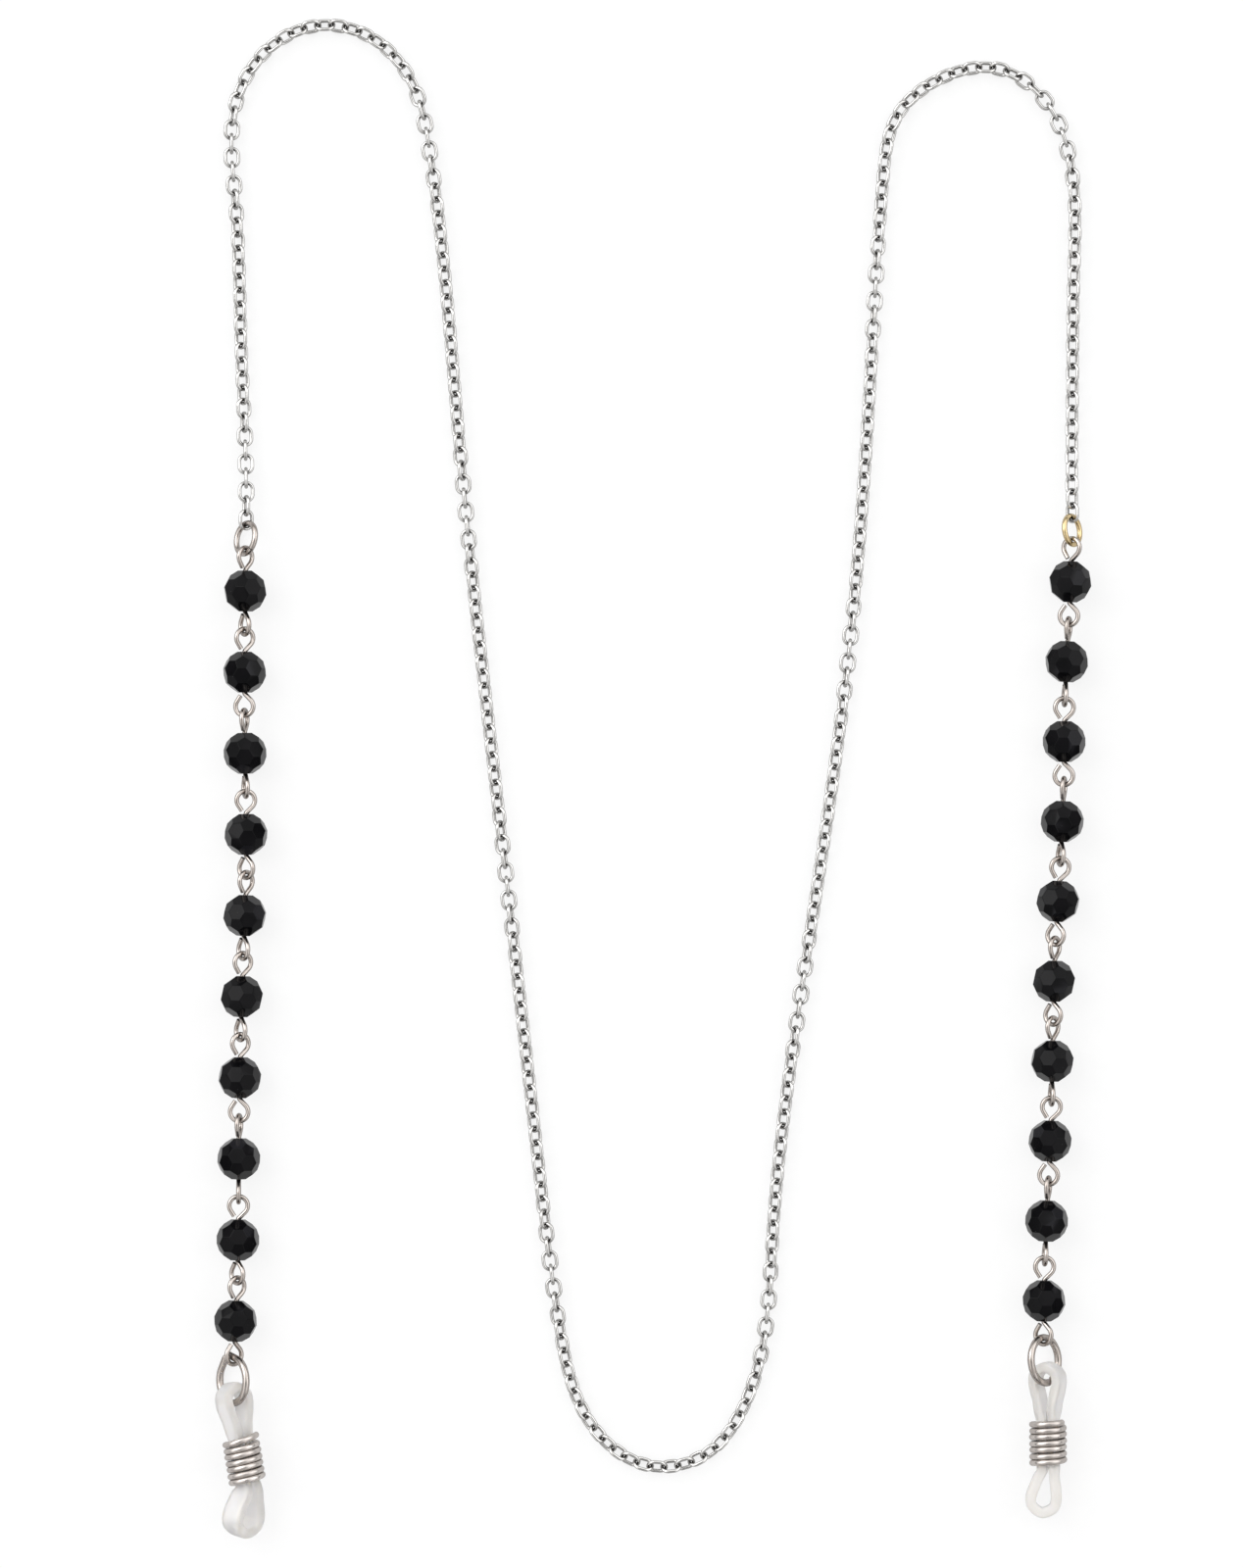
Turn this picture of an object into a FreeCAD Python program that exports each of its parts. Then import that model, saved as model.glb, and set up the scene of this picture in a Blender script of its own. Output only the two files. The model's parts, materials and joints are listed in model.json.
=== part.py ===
import FreeCAD, Part
import math
import os

# Beaded eyeglass chain, millimetres. It lies flat on a table in a soft letter M: +Z is up, +Y runs
# from the temple loops towards the two humps of the neck chain, and the origin is on the table at
# the middle of the piece. From each free end towards the neck: a silicone temple loop with a wire
# coil slider, an end ring, ten beads on hooked wire pins, a chain ring, then the cable chain.

V = FreeCAD.Vector
UP = V(0, 0, 1)

# Cable chain: oval links that hook through each other, each a quarter turn from the last.
LINK_LENGTH = 3.0
LINK_WIDTH = 2.3
LINK_WIRE = 0.5
LINK_PITCH = 1.93
CHAIN_HEIGHT = 1.2        # height of the link centres above the table
CHAIN_RAMP = 14.0         # stretch at each end in which the chain climbs to its ring
LINK_REST_ROLL = 45.0     # links lie rolled this far, so that neighbours lean opposite ways
FLAT_STRETCH = 7.0        # near a segment joint the links turn level and upright over this length

# Path of the chain on the table from the left ring to the right ring, ends excluded.
CHAIN_COURSE = (
    (-56.9, 60.0), (-57.7, 80.0), (-57.4, 94.0), (-53.1, 100.8), (-45.8, 104.0),
    (-38.0, 101.7), (-33.0, 95.4), (-31.0, 87.5), (-26.8, 46.8), (-21.6, -2.1),
    (-16.1, -50.9), (-13.0, -75.3), (-7.5, -90.6), (-0.7, -94.9), (7.2, -93.4),
    (12.3, -87.2), (14.9, -79.5), (16.5, -63.2), (20.3, -30.6), (27.1, 18.0),
    (30.2, 58.9), (31.8, 83.4), (33.6, 91.3), (39.6, 96.6), (47.6, 98.0),
    (54.2, 93.5), (57.4, 86.1), (58.1, 69.7), (57.9, 53.0),
)

# Distances along the chain at which one segment ends and the next begins. The links lie level and
# upright there, and at one more spot near the left ring.
SEGMENT_ENDS = (50.0, 98.0, 150.0, 202.0, 256.0, 318.0, 362.0, 410.0, 460.0, 512.0)
SPOT_BY_LEFT_RING = 7.5
FLAT_SPOTS = SEGMENT_ENDS + (SPOT_BY_LEFT_RING,)
SEGMENT_NAMES = (
    "left_chain_5", "left_chain_4", "left_chain_3", "left_chain_2", "left_chain_1",
    "nape_chain",
    "right_chain_1", "right_chain_2", "right_chain_3", "right_chain_4", "right_chain_5",
)

# Beads: thirty-two facets, twelve pentagons and twenty hexagons, bored through two pentagons.
BEAD_DIAMETER = 6.0
BEAD_BORE = 0.85
BEAD_COUNT = 10
BEAD_SPIN_STEP = 137.5    # each bead rests turned this much further than the last

# Bead pins: one wire with a teardrop eye at each end.
PIN_WIRE = 0.65
EYE_RADIUS = 1.275        # of the wire's centreline
EYE_REACH = 3.5           # from the bead's flat to the outside of the eye
EYE_BEND_RADIUS = 0.36
EYE_BEND_INSET = 0.05     # the bend starts this far inside the bead
EYE_TAIL_LENGTH = 0.93
EYE_TAIL_ANGLE = 33.0

STRAND_HEIGHT = 3.0       # height of the pins' centreline: the beads rest on the table
HOOK_CLEARANCE = 0.07

# Jump rings are round, with the cut ends almost meeting.
CUT_GAP = 0.1
CHAIN_RING_SLOPE = 15.0
END_RING_DIAMETER = 7.2
END_RING_WIRE = 1.0

# Silicone temple loops: a flat band pinched into two eyes by the coil.
BAND_THICKNESS = 1.6
BAND_WIDTH = 2.8
BAND_LENGTH = 21.7
BAND_EYE_RADIUS = 0.95
WAIST_HALF_LENGTH = 4.2
EYE_APEX = 4.6
EYE_SLACK = 0.35          # the end ring hangs this far below the centre of the eye's round end

# Coil sliders: close-wound wire.
COIL_WIRE = 0.85
COIL_BORE = 3.5
COIL_TURNS = 6.75
COIL_LEAD = 0.88
COIL_CLEARANCE = 0.05

# What differs between the two sides. Leans are degrees off -Y, towards +X, for each pin in turn;
# eye rolls are degrees off level for the first pin's upper eye, then for every pin's lower eye.
# The loop hooks the end ring `loop_hook` degrees round from the ring's lowest point.
SIDES = {
    "left": {
        "hook": V(-56.2, 31.0, STRAND_HEIGHT),
        "chain_ring_diameter": 5.1,
        "chain_ring_wire": 0.8,
        "chain_ring_roll": 51.0,
        "chain_ring_cut": 38.0,
        "leans": (-0.5, -0.3, 1.0, 0.3, -2.3, -1.8, -1.0, -0.3, -1.0, -2.5),
        "first_eye_roll": -48.0,
        "eye_rolls": (60.0, 15.0, 75.0, 40.0, 57.0, 58.0, 10.0, 88.0, 48.0, -40.0),
        "hook_slack": 0.15,
        "end_ring_lean": -2.5,
        "end_ring_roll": 51.0,
        "end_ring_cut": 238.0,
        "loop_hook": 11.0,
        "loop_lean": 9.4,
        "loop_roll": -39.0,
        "lower_eye_bend": -20.5,
        "lower_eye_twist": -8.0,
        "slider_offset": 0.15,
        "coil_turn": 105.0,
    },
    "right": {
        "hook": V(57.7, 32.3, STRAND_HEIGHT),
        "chain_ring_diameter": 4.7,
        "chain_ring_wire": 0.75,
        "chain_ring_roll": -54.0,
        "chain_ring_cut": 165.0,
        "leans": (-2.3, -2.9, -0.5, -2.4, -3.9, -1.5, -1.0, -2.3, -2.6, -1.0),
        "first_eye_roll": 35.0,
        "eye_rolls": (15.0, 86.0, 12.0, 76.0, 33.0, 38.0, 84.0, 14.0, 87.0, 36.0),
        "hook_slack": 0.31,
        "end_ring_lean": 5.0,
        "end_ring_roll": -50.0,
        "end_ring_cut": 205.0,
        "loop_hook": 4.0,
        "loop_lean": 0.5,
        "loop_roll": 30.0,
        "lower_eye_bend": -10.0,
        "lower_eye_twist": -28.0,
        "slider_offset": 0.45,
        "coil_turn": 135.0,
    },
}


def direction(lean, slope=0.0):
    """A unit vector along a strand, leaning `lean` degrees from -Y and climbing at `slope` degrees."""
    run = math.cos(math.radians(slope))
    x = run * math.sin(math.radians(lean))
    y = -run * math.cos(math.radians(lean))
    return V(x, y, math.sin(math.radians(slope)))


def placed(shape, centre, along, roll):
    """A copy with its local X on `along` and its local XY plane rolled from level about that line."""
    level = FreeCAD.Rotation(along, UP.cross(along), UP, "XYZ")
    turned = level.multiply(FreeCAD.Rotation(V(1, 0, 0), roll))
    copy = shape.copy()
    copy.Placement = FreeCAD.Placement(centre, turned).multiply(shape.Placement)
    return copy


def wire_piece(edges, diameter):
    """Round wire of the given diameter bent along a path of smoothly joined edges."""
    path = Part.Wire(edges)
    start = path.OrderedEdges[0]
    heading = start.tangentAt(start.FirstParameter)
    section = Part.Circle(start.valueAt(start.FirstParameter), heading, diameter / 2)
    return path.makePipe(Part.Face(Part.Wire([section.toShape()])))


# ---- cable chain ----

def chain_link():
    """One oval link in the XY plane, long way along X."""
    radius = (LINK_WIDTH - LINK_WIRE) / 2
    half_flat = (LINK_LENGTH - LINK_WIDTH) / 2
    low_left, low_right = V(-half_flat, -radius, 0), V(half_flat, -radius, 0)
    top_left, top_right = V(-half_flat, radius, 0), V(half_flat, radius, 0)
    right_end = Part.Arc(low_right, V(half_flat + radius, 0, 0), top_right)
    left_end = Part.Arc(top_left, V(-half_flat - radius, 0, 0), low_left)
    return wire_piece([
        Part.makeLine(low_left, low_right), right_end.toShape(),
        Part.makeLine(top_right, top_left), left_end.toShape(),
    ], LINK_WIRE)


def chain_ring_radius(side):
    """Centreline radius of the ring that joins a bead strand to the chain."""
    return (SIDES[side]["chain_ring_diameter"] - SIDES[side]["chain_ring_wire"]) / 2


def chain_end(side):
    """Centre of the link that hooks a side's chain ring."""
    spec = SIDES[side]
    ring_top = spec["hook"] - direction(spec["leans"][0], CHAIN_RING_SLOPE) * 2 * chain_ring_radius(side)
    hooked = (LINK_LENGTH - LINK_WIRE) / 2 - (LINK_WIRE + spec["chain_ring_wire"]) / 2 - HOOK_CLEARANCE
    return ring_top + V(0, hooked, 0)


def chain_places():
    """Centre, heading and distance along the chain of every link, from the left ring to the right."""
    ends = chain_end("left"), chain_end("right")
    left_end, right_end = ((end.x, end.y) for end in ends)
    course = Part.BSplineCurve()
    course.interpolate([V(x, y, 0) for x, y in (left_end, *CHAIN_COURSE, right_end)])
    length = course.length()
    count = 2 * round(length / LINK_PITCH / 2)
    centres = []
    for i in range(count + 1):
        reach = length * i / count
        from_end, end = min((reach, ends[0]), (length - reach, ends[1]), key=lambda pair: pair[0])
        climb = (1 + math.cos(math.pi * min(1, from_end / CHAIN_RAMP))) / 2
        on_table = course.value(course.parameterAtDistance(reach, course.FirstParameter))
        centres.append(on_table + UP * (CHAIN_HEIGHT + (end.z - CHAIN_HEIGHT) * climb))
    places = []
    for i, centre in enumerate(centres):
        heading = centres[min(i + 1, count)] - centres[max(i - 1, 0)]
        places.append((centre, heading.normalize(), length * i / count))
    return places


def link_roll(index, reach):
    """Roll of a link: alternate links differ by a quarter turn, and level out at segment joints."""
    off_joint = min(abs(reach - spot) for spot in FLAT_SPOTS)
    lean = LINK_REST_ROLL * (1 - math.exp(-((off_joint / FLAT_STRETCH) ** 2)))
    return lean - 90 * (index % 2)


def chain_segments():
    """Every chain segment's node name and its links, each link a separate solid."""
    link = chain_link()
    segments = {name: [] for name in SEGMENT_NAMES}
    for index, (centre, heading, reach) in enumerate(chain_places()):
        name = SEGMENT_NAMES[sum(reach > end for end in SEGMENT_ENDS)]
        segments[name].append(placed(link, centre, heading, link_roll(index, reach)))
    return segments


# ---- jump rings ----

def jump_ring(diameter, wire, cut_at):
    """A round ring in the XY plane, cut at `cut_at` degrees from local +X."""
    radius = (diameter - wire) / 2
    gap = math.degrees(CUT_GAP / radius)
    ring = Part.makeTorus(radius, wire / 2, V(0, 0, 0), UP, 0, 360, 360 - gap)
    ring.rotate(V(0, 0, 0), UP, cut_at + gap / 2)
    return Part.Solid(ring)


# ---- beads and their pins ----

def bead_half_length():
    """Distance from a bead's centre to its two bored flats."""
    golden = (1 + math.sqrt(5)) / 2
    edge = 2 * BEAD_DIAMETER / 2 / math.sqrt(1 + 9 * golden ** 2)
    return edge / 2 * math.sqrt((125 + 41 * math.sqrt(5)) / 10)


def icosahedron():
    """The twelve corners of an icosahedron of unit radius, with two of them on the X axis."""
    height = 1 / math.sqrt(5)
    radius = 2 / math.sqrt(5)
    corners = [V(1, 0, 0), V(-1, 0, 0)]
    for k in range(5):
        for sign in (1, -1):
            angle = math.radians(72 * k + (0 if sign > 0 else 36))
            corners.append(V(sign * height, radius * math.cos(angle), radius * math.sin(angle)))
    return corners


def turn_about(axis, start, spoke):
    """Angle from start to spoke about a unit axis."""
    level_start = start - axis * start.dot(axis)
    return math.atan2(start.cross(spoke).dot(axis), level_start.dot(spoke))


def flat_face(points):
    """The planar face round a closed polygon."""
    return Part.Face(Part.makePolygon(points + points[:1]))


def faceted_bead():
    """An icosahedron with its corners cut off at a third of each edge, bored along X."""
    corners = icosahedron()
    edge = corners[0].distanceToPoint(corners[2])
    near = [[j for j, other in enumerate(corners) if j != i and
             corner.distanceToPoint(other) < 1.01 * edge] for i, corner in enumerate(corners)]
    trimmed_radius = (corners[0] * 2 + corners[2]).Length / 3
    scale = BEAD_DIAMETER / 2 / trimmed_radius

    def cut_point(i, j):
        return (corners[i] * 2 + corners[j]) * (scale / 3)

    faces = []
    for i, corner in enumerate(corners):
        first = corners[near[i][0]] - corner
        ring = sorted(near[i], key=lambda j: turn_about(corner, first, corners[j] - corner))
        faces.append(flat_face([cut_point(i, j) for j in ring]))
    for i in range(len(corners)):
        for j in (n for n in near[i] if n > i):
            for k in (n for n in near[i] if n > j and n in near[j]):
                pairs = (i, j), (j, i), (j, k), (k, j), (k, i), (i, k)
                faces.append(flat_face([cut_point(a, b) for a, b in pairs]))
    shell = Part.Shell(faces)
    shell.sewShape()
    solid = Part.Solid(shell)
    bore = Part.makeCylinder(BEAD_BORE / 2, 2 * BEAD_DIAMETER, V(-BEAD_DIAMETER, 0, 0), V(1, 0, 0))
    return solid.cut(bore)


def eye_path(end, roll):
    """Edges of one teardrop eye, from the pin's axis to the cut tail.

    `end` is +1 or -1 for the end of the pin along X, and `roll` turns the eye about the pin.
    """
    side = V(0, math.cos(math.radians(roll)), math.sin(math.radians(roll)))

    def at(x, y):
        return V(end * (bead_half_length() + x), 0, 0) + side * y

    centre = EYE_REACH - PIN_WIRE / 2 - EYE_RADIUS
    run = centre + EYE_BEND_INSET
    span = math.hypot(run, EYE_BEND_RADIUS)
    lean = math.asin((EYE_RADIUS + EYE_BEND_RADIUS) / span) - math.atan2(EYE_BEND_RADIUS, run)
    tail = math.radians(EYE_TAIL_ANGLE)

    def on_bend(angle):
        x = EYE_BEND_RADIUS * math.sin(angle) - EYE_BEND_INSET
        return at(x, EYE_BEND_RADIUS * (1 - math.cos(angle)))

    leave = at(centre - EYE_RADIUS * math.sin(lean), EYE_RADIUS * math.cos(lean))
    top = at(centre + EYE_RADIUS, 0)
    back_x = centre - EYE_RADIUS * math.sin(tail)
    back_y = -EYE_RADIUS * math.cos(tail)
    tail_end = at(back_x - EYE_TAIL_LENGTH * math.cos(tail), back_y + EYE_TAIL_LENGTH * math.sin(tail))
    return on_bend(0), [
        Part.Arc(on_bend(0), on_bend(lean / 2), on_bend(lean)).toShape(),
        Part.makeLine(on_bend(lean), leave),
        Part.Arc(leave, top, at(back_x, back_y)).toShape(),
        Part.makeLine(at(back_x, back_y), tail_end),
    ]


def bead_pin(upper_roll, lower_roll):
    """A pin along X: upper eye at the -X end, straight shank, lower eye at the +X end."""
    upper_start, upper_eye = eye_path(-1, upper_roll)
    lower_start, lower_eye = eye_path(1, lower_roll)
    shank = Part.makeLine(upper_start, lower_start)
    path = list(reversed(upper_eye)) + [shank] + lower_eye
    return wire_piece([edge for edge in Part.sortEdges(path)[0]], PIN_WIRE)


# ---- silicone temple loops and coil sliders ----

def tangent_point(x, y, centre, radius):
    """Where the line from (x, y) touches the +Y side of a circle centred at (centre, 0)."""
    distance = math.hypot(centre - x, y)
    angle = math.atan2(-y, centre - x) + math.asin(radius / distance)
    reach = math.sqrt(distance ** 2 - radius ** 2)
    return x + reach * math.cos(angle), y + reach * math.sin(angle)


def band_eye_centre():
    """Distance from the middle of the silicone loop to the centre of either eye's round end."""
    return BAND_LENGTH / 2 - BAND_EYE_RADIUS - BAND_THICKNESS


def temple_loop(roll, bend, twist):
    """The silicone loop along X: two teardrop eyes and a round waist, kneed below the waist.

    The lower eye is twisted about X, and swings by `bend` degrees about the line that is upright
    once the loop is rolled.
    """
    centre = band_eye_centre()
    outer = BAND_EYE_RADIUS + BAND_THICKNESS
    swell_x, swell_y = tangent_point(WAIST_HALF_LENGTH, BAND_THICKNESS, centre, outer)
    hole_x, hole_y = tangent_point(EYE_APEX, 0, centre, BAND_EYE_RADIUS)

    def outline(sign):
        corner = V(sign * WAIST_HALF_LENGTH, sign * BAND_THICKNESS, 0)
        swell = V(sign * swell_x, sign * swell_y, 0)
        far_swell = V(sign * swell_x, -sign * swell_y, 0)
        far_corner = V(sign * WAIST_HALF_LENGTH, -sign * BAND_THICKNESS, 0)
        tip = V(sign * BAND_LENGTH / 2, 0, 0)
        return [
            Part.makeLine(corner, swell), Part.Arc(swell, tip, far_swell).toShape(),
            Part.makeLine(far_swell, far_corner),
            Part.makeLine(far_corner, V(-far_corner.x, far_corner.y, 0)),
        ]

    def hole(sign):
        apex = V(sign * EYE_APEX, 0, 0)
        near = V(sign * hole_x, hole_y, 0)
        far = V(sign * hole_x, -hole_y, 0)
        tip = V(sign * (centre + BAND_EYE_RADIUS), 0, 0)
        edges = [Part.makeLine(apex, near), Part.Arc(near, tip, far).toShape(), Part.makeLine(far, apex)]
        return Part.Face(Part.Wire(edges))

    flat = Part.Face(Part.Wire(outline(1) + outline(-1))).cut([hole(1), hole(-1)])
    band = flat.extrude(UP * BAND_WIDTH)
    band.translate(UP * (-BAND_WIDTH / 2))
    waist = 2 * WAIST_HALF_LENGTH
    start = V(-WAIST_HALF_LENGTH, 0, 0)
    sleeve = Part.makeCylinder(2 * COIL_BORE, waist, start, V(1, 0, 0)).cut(
        Part.makeCylinder(COIL_BORE / 2 - COIL_CLEARANCE, waist, start, V(1, 0, 0)))
    straight = band.cut(sleeve)
    knee = V(WAIST_HALF_LENGTH, 0, 0)
    corner = knee - V(0, BAND_LENGTH / 2, BAND_LENGTH / 2)
    below_knee = Part.makeBox(BAND_LENGTH, BAND_LENGTH, BAND_LENGTH, corner)
    lower = straight.common(below_knee)
    lower.rotate(knee, V(1, 0, 0), twist)
    lower.rotate(knee, FreeCAD.Rotation(V(1, 0, 0), -roll).multVec(UP), bend)
    knuckle = Part.makeSphere(BAND_THICKNESS, knee, V(1, 0, 0))
    return straight.cut(below_knee).fuse([lower, knuckle]).removeSplitter().Solids[0]


def coil_slider():
    """A close-wound coil along X, centred on the origin."""
    radius = (COIL_BORE + COIL_WIRE) / 2
    length = COIL_LEAD * COIL_TURNS
    path = Part.Wire(Part.makeHelix(COIL_LEAD, length, radius))
    heading = V(0, 2 * math.pi * radius, COIL_LEAD)
    section = Part.Wire([Part.Circle(V(radius, 0, 0), heading, COIL_WIRE / 2).toShape()])
    coil = path.makePipeShell([section], True, True)
    coil.translate(V(0, 0, -length / 2))
    coil.rotate(V(0, 0, 0), V(0, 1, 0), 90)
    return Part.makeCompound([coil]).Solids[0]


# ---- the two strands ----

def pin_places(side):
    """Centre, heading, upper eye roll and lower eye roll of every pin of a side, from the chain down."""
    spec = SIDES[side]
    eye_hook = bead_half_length() + EYE_REACH - PIN_WIRE / 2
    upper_rolls = [spec["first_eye_roll"]] + [roll - 90 for roll in spec["eye_rolls"][:-1]]
    eye = spec["hook"]
    reach_back = (spec["chain_ring_wire"] + PIN_WIRE) / 2 + HOOK_CLEARANCE
    places = []
    for lean, upper, lower in zip(spec["leans"], upper_rolls, spec["eye_rolls"]):
        heading = direction(lean)
        centre = eye + heading * (eye_hook - reach_back)
        places.append((centre, heading, upper, lower))
        eye = centre + heading * eye_hook
        reach_back = PIN_WIRE + spec["hook_slack"]
    return places


def end_ring_place(side):
    """Centre and heading of the ring between the last pin and the silicone."""
    centre, pin_heading, _, _ = pin_places(side)[-1]
    eye = centre + pin_heading * (bead_half_length() + EYE_REACH - PIN_WIRE / 2)
    heading = direction(SIDES[side]["end_ring_lean"])
    reach = (END_RING_DIAMETER - END_RING_WIRE) / 2
    return eye + heading * (reach - (END_RING_WIRE + PIN_WIRE) / 2 - HOOK_CLEARANCE), heading


def loop_hook_place(side):
    """The point on the end ring's wire from which the silicone loop hangs."""
    spec = SIDES[side]
    centre, heading = end_ring_place(side)
    turn = math.radians(spec["loop_hook"])
    roll = math.radians(spec["end_ring_roll"])
    across = UP.cross(heading) * math.cos(roll) + UP * math.sin(roll)
    spoke = heading * math.cos(turn) + across * math.sin(turn)
    return centre + spoke * ((END_RING_DIAMETER - END_RING_WIRE) / 2)


def loop_place(side):
    """Centre and heading of the silicone loop, its upper eye centred on the end ring's wire."""
    heading = direction(SIDES[side]["loop_lean"])
    return loop_hook_place(side) + heading * (band_eye_centre() - EYE_SLACK), heading


def strand(side):
    """Every node of one side's bead strand, from the chain ring to the temple loop."""
    spec = SIDES[side]
    ring_heading = direction(spec["leans"][0], CHAIN_RING_SLOPE)
    ring_centre = spec["hook"] - ring_heading * chain_ring_radius(side)
    ring = jump_ring(spec["chain_ring_diameter"], spec["chain_ring_wire"], spec["chain_ring_cut"])
    nodes = {side + "_chain_ring": placed(ring, ring_centre, ring_heading, spec["chain_ring_roll"])}
    bead = faceted_bead()
    for number, (centre, heading, upper, lower) in enumerate(pin_places(side), start=1):
        nodes[f"{side}_pin_{number}"] = placed(bead_pin(upper, lower), centre, heading, 0)
        spin = BEAD_SPIN_STEP * (number + BEAD_COUNT * (side == "right"))
        nodes[f"{side}_bead_{number}"] = placed(bead, centre, heading, spin)
    end_centre, end_heading = end_ring_place(side)
    end_ring = jump_ring(END_RING_DIAMETER, END_RING_WIRE, spec["end_ring_cut"])
    nodes[side + "_end_ring"] = placed(end_ring, end_centre, end_heading, spec["end_ring_roll"])
    loop_centre, loop_heading = loop_place(side)
    loop = temple_loop(spec["loop_roll"], spec["lower_eye_bend"], spec["lower_eye_twist"])
    nodes[side + "_temple_loop"] = placed(loop, loop_centre, loop_heading, spec["loop_roll"])
    coil_centre = loop_centre + loop_heading * spec["slider_offset"]
    nodes[side + "_coil_slider"] = placed(coil_slider(), coil_centre, loop_heading, spec["coil_turn"])
    return nodes


def main():
    os.makedirs("parts", exist_ok=True)
    nodes = {name: Part.makeCompound(links) for name, links in chain_segments().items()}
    nodes.update(strand("left"))
    nodes.update(strand("right"))
    for name, shape in nodes.items():
        shape.exportStep(f"parts/{name}.step")


if __name__ == "__main__":
    main()
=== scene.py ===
import json
import math

import bmesh
import bpy
import numpy as np
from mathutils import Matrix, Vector


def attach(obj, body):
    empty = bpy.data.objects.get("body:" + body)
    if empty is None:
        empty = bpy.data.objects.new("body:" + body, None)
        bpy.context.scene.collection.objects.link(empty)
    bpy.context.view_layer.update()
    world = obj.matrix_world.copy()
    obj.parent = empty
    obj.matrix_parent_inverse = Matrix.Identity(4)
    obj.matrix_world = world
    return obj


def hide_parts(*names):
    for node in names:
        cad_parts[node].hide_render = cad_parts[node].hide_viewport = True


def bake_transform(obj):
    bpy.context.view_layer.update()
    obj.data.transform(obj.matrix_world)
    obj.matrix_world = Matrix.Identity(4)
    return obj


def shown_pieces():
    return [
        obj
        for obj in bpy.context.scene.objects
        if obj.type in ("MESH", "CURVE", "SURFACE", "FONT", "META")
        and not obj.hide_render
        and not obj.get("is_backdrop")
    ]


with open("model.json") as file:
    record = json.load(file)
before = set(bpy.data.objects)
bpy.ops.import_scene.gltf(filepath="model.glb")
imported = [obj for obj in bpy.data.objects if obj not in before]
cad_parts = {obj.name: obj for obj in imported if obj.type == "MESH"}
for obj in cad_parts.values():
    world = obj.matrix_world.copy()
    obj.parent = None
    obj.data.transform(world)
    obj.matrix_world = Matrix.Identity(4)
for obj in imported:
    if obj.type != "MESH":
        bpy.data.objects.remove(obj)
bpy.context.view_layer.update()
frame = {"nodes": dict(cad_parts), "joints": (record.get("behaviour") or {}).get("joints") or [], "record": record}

MM = 0.001
SIDES = ("left", "right")
JOINTS = {j["name"]: j for j in frame["joints"]}

# Counts, and lengths in mm.
BEADS_PER_SIDE = 10
BEAD_EDGE_ROUND = 0.075       # how far each edge of a bead is rounded over
COIL_LEAD = 0.88              # from one turn of the coil wire to the next
COIL_STATIONS = 460           # cross-sections along the wire of a coil
RING_STATIONS = 150           # cross-sections along the wire of an end ring
BAND_STATIONS = 150           # cross-sections along half a silicone loop
BAND_ROUNDS = 44              # points round each of those cross-sections
BAND_HALF_THICK = 0.81
BAND_HALF_BROAD = 1.40
FULL_HALF_BROAD = 1.68        # the lower lobe of the left loop, which is broader
GRIPPED_HALF_THICK = 0.755    # the band inside the coil
GRIPPED_HALF_BROAD = 1.20

# A lobe's centre line in mm, from the coil to its tip: (past the eye, off the lobe's middle line).
TEARDROP = [(-3.0, 1.13), (-1.35, 1.56), (-0.1, 1.755), (0.95, 1.47), (1.76, 0.0)]
FULL_TEARDROP = [(-3.0, 1.22), (-1.35, 1.82), (-0.1, 2.02), (0.95, 1.66), (1.80, 0.0)]


# ---------------------------------------------------------------- small helpers

def smooth(a, b, x):
    """0 below a, 1 above b, and a smooth rise between them."""
    t = np.clip((np.asarray(x, float) - a) / (b - a), 0, 1)
    return t * t * (3 - 2 * t)


def vertices(node):
    """The CAD node's vertices as an array, in metres."""
    mesh = frame["nodes"][node].data
    co = np.zeros(len(mesh.vertices) * 3)
    mesh.vertices.foreach_get("co", co)
    return co.reshape(-1, 3)


def new_piece(name, verts, faces, material):
    """A smooth-shaded mesh object with one material."""
    mesh = bpy.data.meshes.new(name)
    mesh.from_pydata([tuple(v) for v in verts], [], faces)
    mesh.validate()
    mesh.update()
    for polygon in mesh.polygons:
        polygon.use_smooth = True
    obj = bpy.data.objects.new(name, mesh)
    bpy.context.scene.collection.objects.link(obj)
    obj.data.materials.append(material)
    return obj


# ---------------------------------------------------------------- materials

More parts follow.
